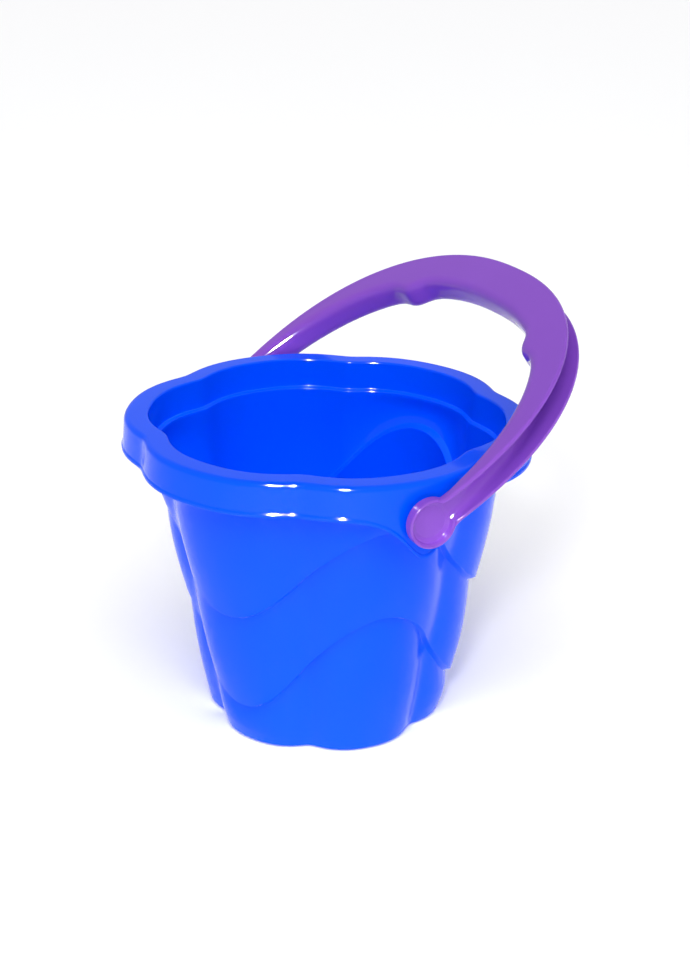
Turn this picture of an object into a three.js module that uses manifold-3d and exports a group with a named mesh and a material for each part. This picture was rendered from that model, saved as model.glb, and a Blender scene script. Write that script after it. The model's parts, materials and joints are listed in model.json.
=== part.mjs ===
// Sand bucket: a six-lobed moulded bucket with a turned-down rim, and a channel-section
// handle that snaps into an ear on each side of the rim.
//
// Millimetres, +Z up. The origin is the centre of the flat underside. The handle's pivot
// axis is parallel to X. Angles round the bucket are measured from +X towards +Y.

import * as THREE from 'three';
import { mergeVertices } from 'three/addons/utils/BufferGeometryUtils.js';
import Module from 'manifold-3d';

// ---- bucket ----
const HEIGHT = 157;
const BASE_RADIUS = 59.8;
const WALL = 2;
const FLOOR = 2.4;
const TAPER = 0.145; // radius gained per millimetre of height
const TIER_STEP = 3.2; // how far the wall steps in below each wavy ledge
const TIER_BULGE = 1.8;
const LEDGES = [
  { height: 49, wave: 28 }, // mean height, and how far the ledge rises and falls
  { height: 100, wave: 26 },
];
const LEDGE_CRESTS = 3; // crests of each ledge in one turn
const LEDGE_SLOPE = 1.2; // height over which the step happens
const FOOT_ROUND = 2.5;

// ---- lobes ----
const LOBES = 6;
const LOBE_TURN = THREE.MathUtils.degToRad(-4); // lobes and ledges against the ears
const NOTCH_DEPTH = 5.5;
const NOTCH_POWER = 1.5;
const NOTCH_ROUND = 0.16;

// ---- rim: flange and turned-down skirt ----
const RIM_RADIUS = 100;
const RIM_INNER_RADIUS = 88.2;
const COLLAR_DEPTH = 17; // from the rim's top down to the ledge inside
const COLLAR_DRAFT = 1.2;
const COLLAR_SHELF = 2.3; // width of the ledge inside, under the collar
const SHELF_FALL = 0.3; // the ledge slopes down towards the inside
const SKIRT_DROP = 16.5;
const SKIRT_FLARE = 1.2;
const SKIRT_LIP = 0.8;
const LIP_HEIGHT = 1.8;
const RIM_ROUND = 3;
const INSIDE_BEVEL = 1; // in the hollow under the flange

// ---- ears and pivot ----
const EAR_DROP = 21; // how far the ear hangs below the skirt
const EAR_REACH = THREE.MathUtils.degToRad(24);
const EAR_WIDTH = THREE.MathUtils.degToRad(8.2);
const PIVOT_HEIGHT = 139;
const EAR_HOLE_RADIUS = 4.6;

// ---- handle, drawn upright in its own plane ----
const HANDLE_LEAN = THREE.MathUtils.degToRad(56);
const BOW_HALF_SPAN = 103.2; // pivot line to the inner face of an arm
const BOW_HEIGHT = 110; // pivot line to the inner face of the grip
const BOW_POWER = 2.4; // superellipse power
const CHANNEL_WIDTH = 15;
const CHANNEL_WALL = 2;
const CHANNEL_ROUND = 6;
const ARM_DEPTH = 5.2; // channel depth at the pivots
const GRIP_DEPTH = 23; // channel depth at the top of the bow
const FINGER_STOP_HEIGHT = 4.5;
const FINGER_STOP_PLACE = 58.5; // from the middle of the grip
const FINGER_STOP_WIDTH = 7;
const BOSS_RADIUS = 11.8;
const CUP_RADIUS = 10;
const PEG_RADIUS = 4.2;
const PEG_SHOULDER_RADIUS = 7;
const PEG_HEAD_RADIUS = 5.7;
const PEG_HEAD_LENGTH = 4.5;
const PEG_TIP_RADIUS = 3.6;
const PEG_SLOT_WIDTH = 1.6;
const PEG_SLOT_LENGTH = 6;
const RUNNING_GAP = 0.3;
const HEAD_GAP = 0.9; // between the ear's inner face and the peg's head

// ---- fineness ----
const AROUND = 88;
const EAR_CROWDING = 0.2; // sections stand closer together at the ears
const TIER_SHARES = [0, 0.34, 0.67, 1]; // where the wall's points lie in a tier, outside
const INSIDE_SHARES = [0, 0.5, 1];
const CORNER_STEPS = 3;
const BEVEL_STEPS = 3;
const BAR_SIDES = 32;
const BOW_STEPS = 56;
const OVERLAP = 1; // how far bodies that are joined run into each other
const CUT_MARGIN = 12; // how far cutting bodies reach past what they cut
const WELD = 1e-4;

const wasm = await Module();
wasm.setup();

/** A closed three.js geometry as a solid that can be joined and cut. */
function solid(geometry) {
  const bare = geometry.clone();
  bare.deleteAttribute('normal');
  bare.deleteAttribute('uv');
  const merged = mergeVertices(bare, WELD);
  const mesh = new wasm.Mesh({
    numProp: 3,
    vertProperties: new Float32Array(merged.attributes.position.array),
    triVerts: withoutSlivers(merged.index.array),
  });
  return new wasm.Manifold(mesh);
}

/** Triangles with three different corners: a lathe's poles leave some with two the same. */
function withoutSlivers(index) {
  const kept = [];
  for (let i = 0; i < index.length; i += 3) {
    const [a, b, c] = [index[i], index[i + 1], index[i + 2]];
    if (a !== b && b !== c && c !== a) kept.push(a, b, c);
  }
  return new Uint32Array(kept);
}

function geometryOf(body) {
  const mesh = body.getMesh();
  const geometry = new THREE.BufferGeometry();
  geometry.setAttribute('position', new THREE.BufferAttribute(mesh.vertProperties, mesh.numProp));
  geometry.setIndex(new THREE.BufferAttribute(mesh.triVerts, 1));
  geometry.computeVertexNormals();
  return geometry;
}

// ---------------------------------------------------------------- bucket

/** How deep the groove between two lobes is at an angle: 0 on a lobe, 1 in the groove. */
function notch(angle) {
  const lobe = Math.hypot(Math.cos((LOBES / 2) * (angle - LOBE_TURN)), NOTCH_ROUND);
  const whole = Math.hypot(1, NOTCH_ROUND);
  return ((whole - lobe) / (whole - NOTCH_ROUND)) ** NOTCH_POWER;
}

function ledgeHeight(level, angle) {
  const { height, wave } = LEDGES[level];
  return height + wave * Math.cos(LEDGE_CRESTS * (angle - LOBE_TURN));
}

/** Heights where the wall's three tiers begin and end at an angle. */
function tierLevels(lowest, angle) {
  return [lowest, ledgeHeight(0, angle), ledgeHeight(1, angle), HEIGHT - COLLAR_DEPTH];
}

/** Outer radius of the wall on a lobe, for a height and the tier it lies in. */
function wallRadius(height, tier, angle) {
  const levels = tierLevels(0, angle);
  const share = (height - levels[tier]) / (levels[tier + 1] - levels[tier]);
  const bulge = TIER_BULGE * Math.sin(Math.PI * THREE.MathUtils.clamp(share, 0, 1));
  return BASE_RADIUS + TAPER * height + TIER_STEP * tier + bulge;
}

/** How far an ear hangs below the skirt at an angle: 1 on the pivot axis, 0 away from it. */
function earShape(angle) {
  const off = Math.abs(Math.asin(Math.sin(angle)));
  if (off >= EAR_REACH) return 0;
  return (1 - (off / EAR_REACH) ** 2) ** 2 / (1 + (off / EAR_WIDTH) ** 2);
}

/** Points up the wall, from the foot to the collar, at a distance in from the outer face. */
function wallPoints(angle, inset, lowest, shares) {
  const levels = tierLevels(lowest, angle);
  const points = [];
  for (let tier = 0; tier <= LEDGES.length; tier += 1) {
    const from = levels[tier] + (tier > 0 ? LEDGE_SLOPE : 0);
    const to = levels[tier + 1];
    for (const share of shares) {
      const height = THREE.MathUtils.lerp(from, to, share);
      points.push([wallRadius(height, tier, angle) - inset, height]);
    }
  }
  return points;
}

/** Points on an arc about a centre (radius, height), between two directions in degrees. */
function corner(centre, round, [from, to], steps) {
  const points = [];
  for (let i = 0; i <= steps; i += 1) {
    const turn = THREE.MathUtils.degToRad(THREE.MathUtils.lerp(from, to, i / steps));
    points.push([centre[0] + round * Math.cos(turn), centre[1] + round * Math.sin(turn)]);
  }
  return points;
}

/** The rim's section: collar outside, flange underside, skirt, and back over the top. */
function rimPoints(angle) {
  const skirtBottom = HEIGHT - SKIRT_DROP - EAR_DROP * earShape(angle);
  const collarBottom = HEIGHT - COLLAR_DEPTH;
  const innerBottom = RIM_INNER_RADIUS - COLLAR_DRAFT;
  const skirtOuter = RIM_RADIUS + SKIRT_FLARE;
  const underside = HEIGHT - WALL;
  const roundHeight = HEIGHT - RIM_ROUND;
  return [
    [innerBottom + WALL, collarBottom + WALL / 2],
    [RIM_INNER_RADIUS + WALL, underside - INSIDE_BEVEL],
    [RIM_INNER_RADIUS + WALL + INSIDE_BEVEL, underside],
    [RIM_RADIUS - WALL - INSIDE_BEVEL, underside],
    [RIM_RADIUS - WALL, underside - INSIDE_BEVEL],
    [skirtOuter - WALL, skirtBottom],
    [skirtOuter + SKIRT_LIP, skirtBottom],
    [skirtOuter + SKIRT_LIP, skirtBottom + LIP_HEIGHT / 2],
    [skirtOuter, skirtBottom + LIP_HEIGHT],
    ...corner([RIM_RADIUS - RIM_ROUND, roundHeight], RIM_ROUND, [0, 90], CORNER_STEPS),
    ...corner([RIM_INNER_RADIUS + RIM_ROUND, roundHeight], RIM_ROUND, [90, 180], CORNER_STEPS),
    [innerBottom, collarBottom + WALL],
    [innerBottom - COLLAR_SHELF, collarBottom + WALL - SHELF_FALL],
  ];
}

/** One closed half-section of the bucket, from the axis at the underside to the axis inside. */
function bucketSection(angle) {
  const flat = BASE_RADIUS - FOOT_ROUND;
  const section = [
    [0, 0],
    [flat / 2, 0],
    ...corner([flat, FOOT_ROUND], FOOT_ROUND, [-90, -10], 2),
    ...wallPoints(angle, 0, 2 * FOOT_ROUND, TIER_SHARES),
    ...rimPoints(angle),
    ...wallPoints(angle, WALL, FLOOR + FOOT_ROUND, INSIDE_SHARES).reverse(),
    ...corner([flat - WALL, FLOOR + FOOT_ROUND], FOOT_ROUND, [-30, -90], 1),
    [flat / 2, FLOOR],
    [0, FLOOR],
  ];
  const groove = NOTCH_DEPTH * notch(angle);
  return section.map(([radius, height]) => {
    const share = THREE.MathUtils.clamp(radius / (BASE_RADIUS / 2), 0, 1);
    return new THREE.Vector2(radius - groove * share, height);
  });
}

/** A lathe whose section changes with the angle, turned so that its axis is Z. */
function lobedLathe(sectionAt) {
  const count = sectionAt(0).length;
  const geometry = new THREE.LatheGeometry(sectionAt(0), AROUND);
  const position = geometry.attributes.position;
  for (let turn = 0; turn <= AROUND; turn += 1) {
    const even = ((turn % AROUND) / AROUND) * 2 * Math.PI;
    const angle = even - EAR_CROWDING * Math.sin(2 * even);
    sectionAt(angle).forEach((point, i) => {
      const k = turn * count + i;
      position.setXYZ(k, point.x * Math.cos(angle), point.x * Math.sin(angle), point.y);
    });
  }
  return geometry;
}

/** A cylinder or cone along X between two places. */
function barAlongX(fromX, toX, fromRadius, toRadius) {
  const length = Math.abs(toX - fromX);
  const bar = new THREE.CylinderGeometry(toRadius, fromRadius, length, BAR_SIDES);
  bar.rotateZ((-Math.PI / 2) * Math.sign(toX - fromX));
  bar.translate((fromX + toX) / 2, 0, 0);
  return solid(bar);
}

function bucketBody() {
  let body = solid(lobedLathe(bucketSection));
  for (const side of [-1, 1]) {
    const near = side * (RIM_RADIUS - CUT_MARGIN / 2);
    const far = side * (RIM_RADIUS + CUT_MARGIN / 2);
    const hole = barAlongX(near, far, EAR_HOLE_RADIUS, EAR_HOLE_RADIUS);
    body = body.subtract(hole.translate([0, 0, PIVOT_HEIGHT]));
  }
  return geometryOf(body);
}

// ---------------------------------------------------------------- handle

/** A point of the bow, moved outwards along its normal. */
function bowPoint(turn, offset) {
  const power = 2 / BOW_POWER;
  const across = BOW_HALF_SPAN * Math.sign(Math.cos(turn)) * Math.abs(Math.cos(turn)) ** power;
  const up = BOW_HEIGHT * Math.sin(turn) ** power;
  const normal = new THREE.Vector2(
    Math.sign(across) * Math.abs(across / BOW_HALF_SPAN) ** (BOW_POWER - 1) / BOW_HALF_SPAN,
    (up / BOW_HEIGHT) ** (BOW_POWER - 1) / BOW_HEIGHT,
  ).normalize();
  return new THREE.Vector2(across, up).addScaledVector(normal, offset);
}

/** The raised stops on the inside of the bow, one each side of the fingers. */
function fingerStop(turn) {
  const across = Math.abs(bowPoint(turn, 0).x);
  return FINGER_STOP_HEIGHT * Math.exp(-(((across - FINGER_STOP_PLACE) / FINGER_STOP_WIDTH) ** 2));
}

function channelDepth(turn) {
  return THREE.MathUtils.lerp(ARM_DEPTH, GRIP_DEPTH, bowPoint(turn, 0).y / BOW_HEIGHT);
}

/** A flat band that follows the bow between two offsets, as thick as asked. */
function bowBand(innerOffset, outerOffset, thickness, round) {
  const outline = [];
  for (let i = 0; i <= BOW_STEPS; i += 1) {
    const turn = (Math.PI * i) / BOW_STEPS;
    outline.push(bowPoint(turn, innerOffset(turn)));
  }
  for (let i = BOW_STEPS; i >= 0; i -= 1) {
    const turn = (Math.PI * i) / BOW_STEPS;
    outline.push(bowPoint(turn, outerOffset(turn)));
  }
  const band = new THREE.ExtrudeGeometry(new THREE.Shape(outline), {
    depth: thickness - 2 * round,
    bevelEnabled: round > 0,
    bevelThickness: round,
    bevelSize: round,
    bevelOffset: -round,
    bevelSegments: BEVEL_STEPS,
  });
  band.translate(0, 0, round - thickness / 2);
  band.rotateX(Math.PI / 2);
  return solid(band);
}

/** The channel-section bow with a round boss at each end, before the bosses are hollowed. */
function channelBody() {
  const face = (turn) => -fingerStop(turn);
  const floor = (turn) => CHANNEL_WALL - fingerStop(turn);
  const before = (turn) => face(turn) - OVERLAP;
  const past = (turn) => channelDepth(turn) + CUT_MARGIN;
  const rounded = bowBand(face, past, CHANNEL_WIDTH, CHANNEL_ROUND);
  let body = rounded.intersect(bowBand(before, channelDepth, CHANNEL_WIDTH + OVERLAP, 0));
  for (const side of [-1, 1]) {
    const from = side * BOW_HALF_SPAN;
    const to = side * (BOW_HALF_SPAN + ARM_DEPTH);
    body = body.add(barAlongX(from, to, BOSS_RADIUS, BOSS_RADIUS));
  }
  const hollowWidth = CHANNEL_WIDTH - 2 * CHANNEL_WALL;
  return body.subtract(bowBand(floor, past, hollowWidth, CHANNEL_ROUND - CHANNEL_WALL));
}

/** The snap peg on one side: a shoulder outside the ear, a shaft, and a split barbed head. */
function pegBody(side) {
  const earFace = RIM_RADIUS + SKIRT_FLARE / 2;
  const root = side * (BOW_HALF_SPAN + CHANNEL_WALL / 2);
  const shoulder = side * (earFace + 2 * RUNNING_GAP);
  const head = earFace - WALL - HEAD_GAP;
  const tip = side * (head - PEG_HEAD_LENGTH);
  const slot = new THREE.BoxGeometry(PEG_SLOT_LENGTH, PEG_SLOT_WIDTH, 4 * PEG_HEAD_RADIUS);
  slot.translate(side * (head - PEG_HEAD_LENGTH / 2), 0, 0);
  return barAlongX(root, shoulder, PEG_SHOULDER_RADIUS, PEG_SHOULDER_RADIUS)
    .add(barAlongX(root, side * (head - OVERLAP), PEG_RADIUS, PEG_RADIUS))
    .add(barAlongX(side * head, tip, PEG_HEAD_RADIUS, PEG_TIP_RADIUS))
    .subtract(solid(slot));
}

function handleBody() {
  let body = channelBody();
  for (const side of [-1, 1]) {
    const cupFloor = side * (BOW_HALF_SPAN + CHANNEL_WALL);
    const outside = side * (BOW_HALF_SPAN + ARM_DEPTH + CUT_MARGIN);
    body = body.subtract(barAlongX(cupFloor, outside, CUP_RADIUS, CUP_RADIUS));
    body = body.add(pegBody(side));
  }
  return geometryOf(body);
}

// ---------------------------------------------------------------- assembly

/** A named part in glossy plastic of one colour. */
function moulding(name, geometry, colour) {
  const material = new THREE.MeshStandardMaterial({ color: colour, roughness: 0.3, metalness: 0 });
  const mesh = new THREE.Mesh(geometry, material);
  mesh.name = name;
  return mesh;
}

const bucket = moulding('bucket', bucketBody(), 0x0a55f5);

const handle = moulding('handle', handleBody(), 0x8a4fc8);
handle.position.z = PIVOT_HEIGHT;
handle.rotation.x = -HANDLE_LEAN;

const group = new THREE.Group();
group.add(bucket, handle);

export default group;
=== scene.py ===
"""A sand bucket with a swing handle: the looks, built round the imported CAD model.

Lengths below are millimetres in the CAD model's own frame and become metres where a mesh is made.
Angles round the bucket are measured from +X, the near ear, towards +Y.
"""

import json
import math

import bmesh
import bpy
from mathutils import Matrix, Vector


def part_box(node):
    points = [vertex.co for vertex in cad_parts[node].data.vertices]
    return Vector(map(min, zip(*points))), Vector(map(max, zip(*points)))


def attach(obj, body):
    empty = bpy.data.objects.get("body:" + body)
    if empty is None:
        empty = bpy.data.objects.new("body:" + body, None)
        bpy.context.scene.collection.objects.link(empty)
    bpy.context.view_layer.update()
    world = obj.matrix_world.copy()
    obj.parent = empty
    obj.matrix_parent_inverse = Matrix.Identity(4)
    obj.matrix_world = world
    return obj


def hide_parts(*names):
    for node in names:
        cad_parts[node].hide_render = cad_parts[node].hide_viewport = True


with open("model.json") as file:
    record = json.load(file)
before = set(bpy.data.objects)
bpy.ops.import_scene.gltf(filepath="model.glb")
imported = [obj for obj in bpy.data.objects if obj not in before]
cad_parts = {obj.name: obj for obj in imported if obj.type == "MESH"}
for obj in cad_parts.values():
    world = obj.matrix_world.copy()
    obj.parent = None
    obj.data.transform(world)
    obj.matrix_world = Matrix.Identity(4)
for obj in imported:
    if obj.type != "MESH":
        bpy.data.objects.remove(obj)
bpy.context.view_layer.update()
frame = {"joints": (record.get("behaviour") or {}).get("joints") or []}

MM = 0.001

# ---- places read from the frame ----
BUCKET_LOW, BUCKET_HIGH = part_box("bucket")
HEIGHT = BUCKET_HIGH[2] / MM
SWING = next(j for j in frame["joints"] if j["name"] == "handle_swing")
PIVOT_HEIGHT = SWING["pos_m"][2] / MM

# ---- bucket ----
BASE_RADIUS = 59.8
WALL = 2.0
FLOOR = 2.4
TAPER = 0.145
TIER_STEP = 3.2
TIER_BULGE = 1.8
LEDGE_HEIGHTS = (49.0, 100.0)
LEDGE_WAVES = (28.0, 26.0)
LEDGE_CRESTS = 3
LEDGE_SLOPE = 1.6
LEDGE_ROUND = 0.7
FOOT_ROUND = 2.5
GATE_RADIUS = 1.6  # the stub left where the plastic was let in
GATE_DISH_RADIUS = 6.0
GATE_DEPTH = 0.8
GATE_DRAFT = 0.3
GATE_ROUND = 0.2
GATE_DISH_ROUND = 0.4
LOBES = 6
LOBE_TURN = math.radians(-4)
NOTCH_DEPTH = 5.5
NOTCH_POWER = 1.5
NOTCH_ROUND = 0.16

# ---- rim ----
RIM_RADIUS = 100.0
RIM_INNER_RADIUS = 88.2
COLLAR_DEPTH = 17.0
COLLAR_DRAFT = 1.2
COLLAR_SHELF = 2.3
SKIRT_DROP = 16.5
SKIRT_FLARE = 1.2
SKIRT_LIP = 0.55  # a little less than in CAD, whose facets cut the lobes short
LIP_HEIGHT = 1.8
RIM_ROUND = 3.0
INNER_RIM_ROUND = 1.2
COLLAR_FOOT = 0.7  # height of the collar's outside foot above the wall
COLLAR_ROUND = 0.8
SHELF_FALL = 0.4
HOLLOW_ROUND = 1.0  # under the flange, beside the collar
HOLLOW_OUTER_ROUND = 1.2
LIP_ROUND = 0.5
LIP_EDGE_ROUND = 0.4
LIP_ROOT_ROUND = 0.6
LIP_TOP_SHARE = 0.8  # the lip's slope begins and ends at these shares of its height
LIP_ROOT_SHARE = 1.3

# ---- ears ----
EAR_DROP = 21.0
EAR_REACH = math.radians(24)
EAR_WIDTH = math.radians(8.2)
EAR_HOLE_RADIUS = 4.6

# ---- handle, drawn upright in its own plane ----
HANDLE_LEAN = math.radians(56)
BOW_HALF_SPAN = 103.2
BOW_HEIGHT = 110.0
BOW_POWER = 2.4
CHANNEL_WIDTH = 15.0
CHANNEL_WALL = 2.0
CHANNEL_ROUND = 6.0
CHANNEL_INSIDE_ROUND = 4.0
EDGE_ROUND = 0.8
EDGE_ROUND_OUTSIDE = 1.4
EDGE_ROUND_INSIDE = 0.5
FLAT_LEFT = 0.2  # flat left between two roundings
ARM_DEPTH = 5.1
GRIP_DEPTH = 23.0
FINGER_STOP_HEIGHT = 4.5
FINGER_STOP_PLACE = 58.5
FINGER_STOP_WIDTH = 7.0
NECK_START = 7.0
NECK_LENGTH = 2.0
NECK_FLARE = 1.0
BOSS_RADIUS = 11.8
CUP_RADIUS = 10.0
DISC_RADIUS = 7.6
DISC_WALL = 1.4
DISC_ROUND = 0.5
CUP_ROUND = 0.6
CUP_SLOPE_RISE = 0.3
CUP_SLOPE_INSET = 0.2
CUP_PAST_BRIM = 0.1
PEG_RADIUS = 4.2
PEG_SHOULDER_RADIUS = 7.0
PEG_HEAD_RADIUS = 5.7
PEG_HEAD_LENGTH = 4.5
PEG_TIP_RADIUS = 3.6
PEG_SHOULDER_ROUND = 0.4
PEG_ROOT_ROUND = 0.2
PEG_HEAD_ROUND = 0.3
PEG_TIP_ROUND = 0.6
PEG_SLOT_WIDTH = 1.6
PEG_SLOT_LENGTH = 6.0
PEG_SLOT_PLACE = 2.0
RUNNING_GAP = 0.3

# ---- fineness ----
AROUND = 480
BOW_STEPS = 300
CORNER_STEPS = 7
BOSS_SIDES = 120
BAR_SIDES = 64
WALL_ROWS = 14  # points up the wall in each tier
FLOOR_SHARES = (0.3, 0.6, 0.85)  # where rings of points lie on the flat floor
WELD = 1e-6
CUT_MARGIN = 10.0
MOUTH_MARGIN = 0.12
MOUTH_STEPS = 10
SMOOTH_ANGLE = math.radians(32)

# ---- colours ----
BLUE = (0.0, 0.08, 0.93)
BLUE_TINT = (0.0, 0.088, 0.98)
PURPLE = (0.22, 0.068, 0.5)
PURPLE_TINT = (0.245, 0.077, 0.55)
BLUE_SPECULAR = 0.12
PURPLE_SPECULAR = 0.25
CLOUD_SCALE = 14
CLOUD_DETAIL = 3
SCUFF_SCALE = 200
SCUFF_DETAIL = 5
SCUFF_NOISE = (0.45, 0.75)
SCUFF_ROUGHNESS = (0.06, 0.08)
PEEL_SCALE = 180
PEEL_DETAIL = 2
PEEL_STRENGTH = 0.04
PEEL_DISTANCE = 0.0005
FLOOR_COLOUR = (0.92, 0.92, 0.93, 1)
FLOOR_ROUGHNESS = 0.9
FLOOR_SIZE = 6000.0
FLOOR_DROP = 0.5  # the floor lies this far below the underside

# ---- camera ----
CAMERA_AZIMUTH = math.radians(63.5)
CAMERA_REACH = 811.3
CAMERA_HEIGHT = 445.8
CAMERA_AIM = (4.2, 8.4, 121.4)
CAMERA_ROLL = math.radians(0.78)
LENS = 65.4

# ---- light: azimuths and elevations in degrees ----
WORLD_STRENGTH = 0.57
KEY_AZIMUTH = 70
KEY_ELEVATION = 52
KEY_STRENGTH = 1.9
KEY_SOFTNESS = math.radians(50)
LAMP_AZIMUTH = 57
LAMP_ELEVATION = 32
LAMP_SIZE = 210.0
LAMP_POWER = 520
LIGHT_DISTANCE = 1500.0


# ---------------------------------------------------------------- mesh helpers

def rounded(path):
    """The points of a path whose corners (across, up, round) are each rounded to that radius."""
    points = []
    for i, (x, y, radius) in enumerate(path):
        here = Vector((x, y))
        if radius == 0:
            points.append(here)
            continue
        before = (Vector(path[i - 1][:2]) - here).normalized()
        after = (Vector(path[(i + 1) % len(path)][:2]) - here).normalized()
        half = before.angle(after, math.pi) / 2
        reach = radius / math.tan(half)
        start = here + before * reach
        end = here + after * reach
        for step in range(CORNER_STEPS + 1):
            t = step / CORNER_STEPS
            points.append(start.lerp(here, t).lerp(here.lerp(end, t), t))
    return points


def new_piece(name, vertices, faces):
    mesh = bpy.data.meshes.new(name)
    mesh.from_pydata([tuple(c * MM for c in v) for v in vertices], [], faces)
    mesh.validate()
    mesh.update()
    piece = bpy.data.objects.new(name, mesh)
    bpy.context.scene.collection.objects.link(piece)
    return piece


def rings_to_faces(rings, count, closed_rings, joined_ends):
    """Quads between neighbouring rings of points, numbered ring by ring."""
    faces = []
    for i in range(rings if joined_ends else rings - 1):
        low = i * count
        high = ((i + 1) % rings) * count
        for k in range(count if closed_rings else count - 1):
            n = (k + 1) % count
            faces.append((low + k, low + n, high + n, high + k))
    return faces


def outward(piece):
    bm = bmesh.new()
    bm.from_mesh(piece.data)
    bmesh.ops.remove_doubles(bm, verts=bm.verts, dist=WELD)
    bmesh.ops.recalc_face_normals(bm, faces=bm.faces)
    bm.to_mesh(piece.data)
    bm.free()


def lathe_x(name, profile, turns=BAR_SIDES):
    """A solid turned about X from a profile of (x, radius), which starts and ends on the axis."""
    vertices = []
    for i in range(turns):
        angle = 2 * math.pi * i / turns
        for x, radius in profile:
            vertices.append((x, radius * math.cos(angle), radius * math.sin(angle)))
    piece = new_piece(name, vertices, rings_to_faces(turns, len(profile), False, True))
    outward(piece)
    return piece


def apply_modifiers(piece):
    bpy.context.view_layer.update()
    graph = bpy.context.evaluated_depsgraph_get()
    result = bpy.data.meshes.new_from_object(piece.evaluated_get(graph))
    piece.modifiers.clear()
    old = piece.data
    piece.data = result
    bpy.data.meshes.remove(old)


def combine(piece, other, operation):
    """Joins the other piece to this one or cuts it away, and deletes it."""
    modifier = piece.modifiers.new("combine", "BOOLEAN")
    modifier.operation = operation
    modifier.solver = "EXACT"
    modifier.object = other
    apply_modifiers(piece)
    bpy.data.objects.remove(other)


def smooth(piece):
    """Smooth shading that keeps sharp edges sharp and flat faces flat beside a rounding."""
    piece.data.shade_smooth()
    piece.data.set_sharp_from_angle(angle=SMOOTH_ANGLE)
    weighted = piece.modifiers.new("weighted", "WEIGHTED_NORMAL")
    weighted.keep_sharp = True
    apply_modifiers(piece)


# ---------------------------------------------------------------- bucket

def notch(angle):
    """How deep the groove between two lobes is: 0 on a lobe, 1 in the groove."""
    lobe = math.hypot(math.cos(LOBES / 2 * (angle - LOBE_TURN)), NOTCH_ROUND)
    whole = math.hypot(1, NOTCH_ROUND)
    return ((whole - lobe) / (whole - NOTCH_ROUND)) ** NOTCH_POWER


def ledge_height(level, angle):
    return LEDGE_HEIGHTS[level] + LEDGE_WAVES[level] * math.cos(LEDGE_CRESTS * (angle - LOBE_TURN))


def tier_limits(angle):
    return (0.0, ledge_height(0, angle), ledge_height(1, angle), HEIGHT - COLLAR_DEPTH)


def wall_radius(height, tier, angle):
    limits = tier_limits(angle)
    share = (height - limits[tier]) / (limits[tier + 1] - limits[tier])
    bulge = TIER_BULGE * math.sin(math.pi * min(max(share, 0), 1))
    return BASE_RADIUS + TAPER * height + TIER_STEP * tier + bulge


def ear_shape(angle):
    """How far an ear hangs below the skirt: 1 on the pivot axis, 0 away from it."""
    off = abs(math.asin(math.sin(angle)))
    if off >= EAR_REACH:
        return 0.0
    return (1 - (off / EAR_REACH) ** 2) ** 2 / (1 + (off / EAR_WIDTH) ** 2)


def wall_path(angle, inset, lowest):
    """Corners up the wall, each tier ending in a rounded ledge."""
    limits = list(tier_limits(angle))
    limits[0] = lowest
    path = []
    for tier in range(3):
        low = limits[tier] + (LEDGE_SLOPE if tier > 0 else 0)
        high = limits[tier + 1]
        for row in range(WALL_ROWS + 1):
            height = low + (high - low) * row / WALL_ROWS
            on_ledge = (tier > 0 and row == 0) or (tier < 2 and row == WALL_ROWS)
            path.append((wall_radius(height, tier, angle) - inset, height, LEDGE_ROUND if on_ledge else 0))
    return path


def rim_path(angle):
    """Corners of the rim: up the collar's outside, down inside the skirt and back over the top."""
    skirt_bottom = HEIGHT - SKIRT_DROP - EAR_DROP * ear_shape(angle)
    collar_bottom = HEIGHT - COLLAR_DEPTH
    inner_bottom = RIM_INNER_RADIUS - COLLAR_DRAFT
    skirt = RIM_RADIUS + SKIRT_FLARE
    return [
        (inner_bottom + WALL, collar_bottom + COLLAR_FOOT, COLLAR_ROUND),
        (RIM_INNER_RADIUS + WALL, HEIGHT - WALL, HOLLOW_ROUND),
        (RIM_RADIUS - WALL, HEIGHT - WALL, HOLLOW_OUTER_ROUND),
        (skirt - WALL, skirt_bottom, LIP_EDGE_ROUND),
        (skirt + SKIRT_LIP, skirt_bottom, LIP_ROUND),
        (skirt + SKIRT_LIP, skirt_bottom + LIP_TOP_SHARE * LIP_HEIGHT, LIP_EDGE_ROUND),
        (skirt, skirt_bottom + LIP_ROOT_SHARE * LIP_HEIGHT, LIP_ROOT_ROUND),
        (RIM_RADIUS, HEIGHT, RIM_ROUND),
        (RIM_INNER_RADIUS, HEIGHT, INNER_RIM_ROUND),
        (inner_bottom, collar_bottom + WALL, COLLAR_ROUND),
        (inner_bottom - COLLAR_SHELF, collar_bottom + WALL - SHELF_FALL, COLLAR_ROUND),
    ]


def bucket_section(angle):
    """One closed half-section, from the axis at the underside to the axis on the floor."""
    flat = BASE_RADIUS - FOOT_ROUND
    path = [
        (0, GATE_DEPTH / 2, 0),
        (GATE_RADIUS, GATE_DEPTH / 2, GATE_ROUND),
        (GATE_RADIUS + GATE_DRAFT, GATE_DEPTH, GATE_ROUND),
        (GATE_DISH_RADIUS, GATE_DEPTH, GATE_DISH_ROUND),
        (GATE_DISH_RADIUS + GATE_DEPTH, 0, GATE_DISH_ROUND),
    ]
    path += [(flat * share, 0, 0) for share in FLOOR_SHARES]
    path += [(BASE_RADIUS, 0, FOOT_ROUND)]
    path += wall_path(angle, 0, 3 * FOOT_ROUND)
    path += rim_path(angle)
    path += reversed(wall_path(angle, WALL, FLOOR + 2 * FOOT_ROUND))
    path += [(BASE_RADIUS - WALL, FLOOR, FOOT_ROUND)]
    path += [(flat * share, FLOOR, 0) for share in reversed(FLOOR_SHARES)]
    path += [(0, FLOOR, 0)]
    groove = NOTCH_DEPTH * notch(angle)
    section = []
    for radius, height in rounded(path):
        share = min(radius / (BASE_RADIUS / 2), 1)
        section.append((radius - groove * share, height))
    return section


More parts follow.
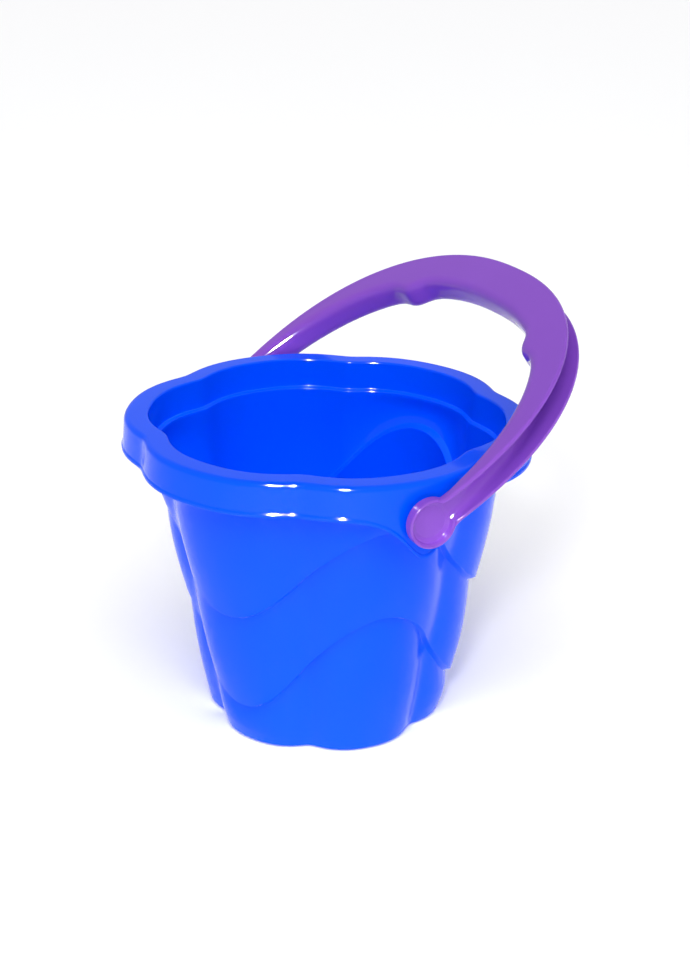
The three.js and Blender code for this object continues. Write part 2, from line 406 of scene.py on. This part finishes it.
def ear_cutter(side):
    """A bar through one ear, where the handle's peg turns."""
    near = side * (RIM_RADIUS - 4 * WALL)
    far = side * (RIM_RADIUS + 4 * WALL)
    bar = lathe_x("ear_cutter", [(near, 0), (near, EAR_HOLE_RADIUS), (far, EAR_HOLE_RADIUS), (far, 0)])
    bar.data.transform(Matrix.Translation((0, 0, PIVOT_HEIGHT * MM)))
    return bar


def make_bucket():
    vertices = []
    for i in range(AROUND):
        angle = 2 * math.pi * i / AROUND
        section = bucket_section(angle)
        for radius, height in section:
            vertices.append((radius * math.cos(angle), radius * math.sin(angle), height))
    piece = new_piece("bucket_moulding", vertices, rings_to_faces(AROUND, len(section), False, True))
    outward(piece)
    for side in (-1, 1):
        combine(piece, ear_cutter(side), "DIFFERENCE")
    smooth(piece)
    return piece


# ---------------------------------------------------------------- handle

def bow_point(turn, offset):
    """A point of the bow, moved outwards along its normal."""
    power = 2 / BOW_POWER
    cosine = math.cos(turn)
    across = BOW_HALF_SPAN * math.copysign(abs(cosine) ** power, cosine)
    up = BOW_HEIGHT * max(math.sin(turn), 0) ** power
    normal = Vector((
        math.copysign(abs(across / BOW_HALF_SPAN) ** (BOW_POWER - 1) / BOW_HALF_SPAN, across),
        (up / BOW_HEIGHT) ** (BOW_POWER - 1) / BOW_HEIGHT,
    )).normalized()
    return Vector((across, up)) + offset * normal


def finger_stop(turn):
    across = abs(bow_point(turn, 0).x)
    return FINGER_STOP_HEIGHT * math.exp(-((across - FINGER_STOP_PLACE) / FINGER_STOP_WIDTH) ** 2)


def channel_depth(turn):
    return ARM_DEPTH + (GRIP_DEPTH - ARM_DEPTH) * bow_point(turn, 0).y / BOW_HEIGHT


def bow_solid(name, section_at, first, last, steps):
    """A closed section of (outward, sideways) points carried along the bow."""
    vertices = []
    for i in range(steps + 1):
        turn = first + (last - first) * i / steps
        section = section_at(turn)
        for outwards, sideways in section:
            point = bow_point(turn, outwards)
            vertices.append((point.x, sideways, point.y))
    count = len(section)
    faces = rings_to_faces(steps + 1, count, True, False)
    faces.append(tuple(range(count)))
    faces.append(tuple(steps * count + k for k in reversed(range(count))))
    piece = new_piece(name, vertices, faces)
    outward(piece)
    return piece


def turn_at(distance):
    """Where along the bow's first half its inner face has risen that far above the pivots."""
    return math.asin((distance / BOW_HEIGHT) ** (BOW_POWER / 2))


def half_width(turn):
    """Half the channel's width: it flares where an arm runs into its boss."""
    past_boss = max(bow_point(turn, 0).y - NECK_START, 0)
    return CHANNEL_WIDTH / 2 + NECK_FLARE * math.exp(-past_boss / NECK_LENGTH)


def corner_rounds(turn):
    """Rounding under the web and in the channel, less where the channel is shallow."""
    side = channel_depth(turn) + finger_stop(turn)
    web = min(CHANNEL_ROUND, side - EDGE_ROUND_OUTSIDE - FLAT_LEFT)
    hollow = min(CHANNEL_INSIDE_ROUND, side - CHANNEL_WALL - EDGE_ROUND_INSIDE - FLAT_LEFT)
    return web, hollow


def channel_section(turn):
    """The bow's section of (outward, sideways) points: a U that is open outwards."""
    half = half_width(turn)
    inside = half - CHANNEL_WALL
    depth = channel_depth(turn)
    face = -finger_stop(turn)
    floor = face + CHANNEL_WALL
    web, hollow = corner_rounds(turn)
    return rounded([
        (depth, half, EDGE_ROUND_OUTSIDE),
        (face, half, web),
        (face, -half, web),
        (depth, -half, EDGE_ROUND_OUTSIDE),
        (depth, -inside, EDGE_ROUND_INSIDE),
        (floor, -inside, hollow),
        (floor, inside, hollow),
        (depth, inside, EDGE_ROUND_INSIDE),
    ])


def mouth_section(turn):
    """What is cut from a boss where the channel runs into its cup."""
    inside = half_width(turn) - CHANNEL_WALL - MOUTH_MARGIN
    floor = CHANNEL_WALL + MOUTH_MARGIN
    high = channel_depth(turn) + CUT_MARGIN
    hollow = corner_rounds(turn)[1]
    return rounded([
        (high, inside, 0),
        (floor, inside, hollow),
        (floor, -inside, hollow),
        (high, -inside, 0),
    ])


def boss(side):
    """The round end of an arm, solid, before its cup is cut."""
    inner = BOW_HALF_SPAN
    outer = BOW_HALF_SPAN + ARM_DEPTH
    path = [(inner, 0, 0), (inner, BOSS_RADIUS, EDGE_ROUND), (outer, BOSS_RADIUS, EDGE_ROUND), (outer, 0, 0)]
    return lathe_x("boss", [(side * p.x, p.y) for p in rounded(path)], BOSS_SIDES)


def cup(side):
    """What is cut from a boss: a flat disc with a sloping ring round it, and a rounded brim."""
    outer = BOW_HALF_SPAN + ARM_DEPTH
    disc = BOW_HALF_SPAN + DISC_WALL
    slope_top = BOW_HALF_SPAN + CHANNEL_WALL + CUP_SLOPE_RISE
    path = [
        (disc, 0, 0),
        (disc, DISC_RADIUS, DISC_ROUND),
        (slope_top, CUP_RADIUS - CUP_SLOPE_INSET, CUP_ROUND),
        (outer - EDGE_ROUND, CUP_RADIUS, CUP_ROUND),
        (outer + CUP_PAST_BRIM, CUP_RADIUS + EDGE_ROUND, 0),
        (outer + CUT_MARGIN, CUP_RADIUS + EDGE_ROUND, 0),
        (outer + CUT_MARGIN, 0, 0),
    ]
    return lathe_x("cup", [(side * p.x, p.y) for p in rounded(path)], BOSS_SIDES)


def peg(side):
    """The snap peg: shoulder, shaft and barbed head, pointing at the bucket's axis."""
    ear = RIM_RADIUS + SKIRT_FLARE / 2
    head = ear - WALL - 3 * RUNNING_GAP
    shoulder = ear + 2 * RUNNING_GAP
    path = [
        (BOW_HALF_SPAN + CHANNEL_WALL / 2, 0, 0),
        (BOW_HALF_SPAN + CHANNEL_WALL / 2, PEG_SHOULDER_RADIUS, 0),
        (shoulder, PEG_SHOULDER_RADIUS, PEG_SHOULDER_ROUND),
        (shoulder, PEG_RADIUS, PEG_ROOT_ROUND),
        (head, PEG_RADIUS, PEG_ROOT_ROUND),
        (head, PEG_HEAD_RADIUS, PEG_HEAD_ROUND),
        (head - PEG_HEAD_LENGTH, PEG_TIP_RADIUS, PEG_TIP_ROUND),
        (head - PEG_HEAD_LENGTH, 0, 0),
    ]
    piece = lathe_x("peg", [(side * p.x, p.y) for p in rounded(path)])
    slot_size = (PEG_SLOT_LENGTH, PEG_SLOT_WIDTH, 4 * PEG_HEAD_RADIUS)
    slot = box_piece("slot", (side * (head - PEG_SLOT_PLACE), 0, 0), slot_size)
    combine(piece, slot, "DIFFERENCE")
    return piece


def box_piece(name, centre, size):
    corners = [
        tuple(c + s * d / 2 for c, s, d in zip(centre, signs, size))
        for signs in ((-1, -1, -1), (1, -1, -1), (1, 1, -1), (-1, 1, -1),
                      (-1, -1, 1), (1, -1, 1), (1, 1, 1), (-1, 1, 1))
    ]
    faces = [(0, 3, 2, 1), (4, 5, 6, 7), (0, 1, 5, 4), (1, 2, 6, 5), (2, 3, 7, 6), (3, 0, 4, 7)]
    return new_piece(name, corners, faces)


def make_handle():
    root = turn_at(BOSS_RADIUS / 2)
    mouth = turn_at(BOSS_RADIUS + CHANNEL_WALL)
    piece = bow_solid("handle_moulding", channel_section, root, math.pi - root, BOW_STEPS)
    for side in (-1, 1):
        combine(piece, boss(side), "UNION")
    for first, last in ((root, mouth), (math.pi - mouth, math.pi - root)):
        combine(piece, bow_solid("mouth", mouth_section, first, last, MOUTH_STEPS), "DIFFERENCE")
    for side in (-1, 1):
        combine(piece, peg(side), "UNION")
        combine(piece, cup(side), "DIFFERENCE")
    lean = Matrix.Translation((0, 0, PIVOT_HEIGHT * MM)) @ Matrix.Rotation(-HANDLE_LEAN, 4, "X")
    piece.data.transform(lean)
    smooth(piece)
    return piece


# ---------------------------------------------------------------- materials

def plastic(name, colour, tint, specular):
    """Glossy moulded plastic: faint clouding in the colour, a fine orange peel and light scuffs."""
    material = bpy.data.materials.new(name)
    material.use_nodes = True
    nodes = material.node_tree.nodes
    links = material.node_tree.links
    shader = nodes["Principled BSDF"]
    shader.inputs["Specular IOR Level"].default_value = specular
    place = nodes.new("ShaderNodeTexCoord")

    cloud = nodes.new("ShaderNodeTexNoise")
    cloud.inputs["Scale"].default_value = CLOUD_SCALE
    cloud.inputs["Detail"].default_value = CLOUD_DETAIL
    shade = nodes.new("ShaderNodeMix")
    shade.data_type = "RGBA"
    shade.inputs["A"].default_value = (*colour, 1)
    shade.inputs["B"].default_value = (*tint, 1)
    links.new(place.outputs["Object"], cloud.inputs["Vector"])
    links.new(cloud.outputs["Fac"], shade.inputs["Factor"])
    links.new(shade.outputs["Result"], shader.inputs["Base Color"])

    scuff = nodes.new("ShaderNodeTexNoise")
    scuff.inputs["Scale"].default_value = SCUFF_SCALE
    scuff.inputs["Detail"].default_value = SCUFF_DETAIL
    gloss = nodes.new("ShaderNodeMapRange")
    gloss.inputs["From Min"].default_value = SCUFF_NOISE[0]
    gloss.inputs["From Max"].default_value = SCUFF_NOISE[1]
    gloss.inputs["To Min"].default_value = SCUFF_ROUGHNESS[0]
    gloss.inputs["To Max"].default_value = SCUFF_ROUGHNESS[1]
    links.new(place.outputs["Object"], scuff.inputs["Vector"])
    links.new(scuff.outputs["Fac"], gloss.inputs["Value"])
    links.new(gloss.outputs["Result"], shader.inputs["Roughness"])

    peel = nodes.new("ShaderNodeTexNoise")
    peel.inputs["Scale"].default_value = PEEL_SCALE
    peel.inputs["Detail"].default_value = PEEL_DETAIL
    bump = nodes.new("ShaderNodeBump")
    bump.inputs["Strength"].default_value = PEEL_STRENGTH
    bump.inputs["Distance"].default_value = PEEL_DISTANCE
    links.new(place.outputs["Object"], peel.inputs["Vector"])
    links.new(peel.outputs["Fac"], bump.inputs["Height"])
    links.new(bump.outputs["Normal"], shader.inputs["Normal"])
    return material


# ---------------------------------------------------------------- stage

def make_floor():
    signs = ((-1, -1), (1, -1), (1, 1), (-1, 1))
    corners = [(x * FLOOR_SIZE, y * FLOOR_SIZE, 0) for x, y in signs]
    floor = new_piece("floor", corners, [(0, 1, 2, 3)])
    floor.location.z = -FLOOR_DROP * MM
    material = bpy.data.materials.new("pale_floor")
    material.use_nodes = True
    shader = material.node_tree.nodes["Principled BSDF"]
    shader.inputs["Base Color"].default_value = FLOOR_COLOUR
    shader.inputs["Roughness"].default_value = FLOOR_ROUGHNESS
    floor.data.materials.append(material)


def aimed(name, data, azimuth, elevation, distance):
    """Places a light that points at the bucket's rim; azimuth 0 is -Y and 90 is +X."""
    light = bpy.data.objects.new(name, data)
    bpy.context.scene.collection.objects.link(light)
    turn = math.radians(azimuth)
    lift = math.radians(elevation)
    away = Vector((math.sin(turn) * math.cos(lift), -math.cos(turn) * math.cos(lift), math.sin(lift)))
    light.location = (Vector((0, 0, HEIGHT)) + away * distance) * MM
    light.rotation_euler = (-away).to_track_quat("-Z", "Y").to_euler()
    return light


def make_soft_key():
    """Even soft light from above the camera, which casts one faint shadow."""
    data = bpy.data.lights.new("soft_key", "SUN")
    data.energy = KEY_STRENGTH
    data.angle = KEY_SOFTNESS
    aimed("soft_key", data, KEY_AZIMUTH, KEY_ELEVATION, LIGHT_DISTANCE).visible_glossy = False


def make_lamp():
    """The small round lamp that the gloss mirrors."""
    data = bpy.data.lights.new("lamp", "AREA")
    data.shape = "DISK"
    data.size = LAMP_SIZE * MM
    data.energy = LAMP_POWER
    aimed("lamp", data, LAMP_AZIMUTH, LAMP_ELEVATION, LIGHT_DISTANCE).visible_diffuse = False


def make_world():
    world = bpy.data.worlds.new("studio")
    world.use_nodes = True
    background = world.node_tree.nodes["Background"]
    background.inputs["Color"].default_value = (1, 1, 1, 1)
    background.inputs["Strength"].default_value = WORLD_STRENGTH
    bpy.context.scene.world = world


def make_camera():
    data = bpy.data.cameras.new("camera")
    data.lens = LENS
    camera = bpy.data.objects.new("camera", data)
    bpy.context.scene.collection.objects.link(camera)
    place = Vector((
        CAMERA_REACH * math.sin(CAMERA_AZIMUTH),
        -CAMERA_REACH * math.cos(CAMERA_AZIMUTH),
        CAMERA_HEIGHT,
    ))
    facing = (Vector(CAMERA_AIM) - place).normalized()
    turn = facing.to_track_quat("-Z", "Y").to_matrix().to_4x4()
    roll = Matrix.Rotation(CAMERA_ROLL, 4, "Z")
    camera.matrix_world = Matrix.Translation(place * MM) @ turn @ roll
    bpy.context.scene.camera = camera


# ---------------------------------------------------------------- scene

make_camera()
make_world()
make_floor()
make_soft_key()
make_lamp()

bucket = make_bucket()
bucket.data.materials.clear()
bucket.data.materials.append(plastic("blue_plastic", BLUE, BLUE_TINT, BLUE_SPECULAR))
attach(bucket, "bucket")
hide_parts("bucket")

handle = make_handle()
handle.data.materials.clear()
handle.data.materials.append(plastic("purple_plastic", PURPLE, PURPLE_TINT, PURPLE_SPECULAR))
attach(handle, "handle")
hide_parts("handle")

bpy.context.scene.view_settings.view_transform = "Standard"
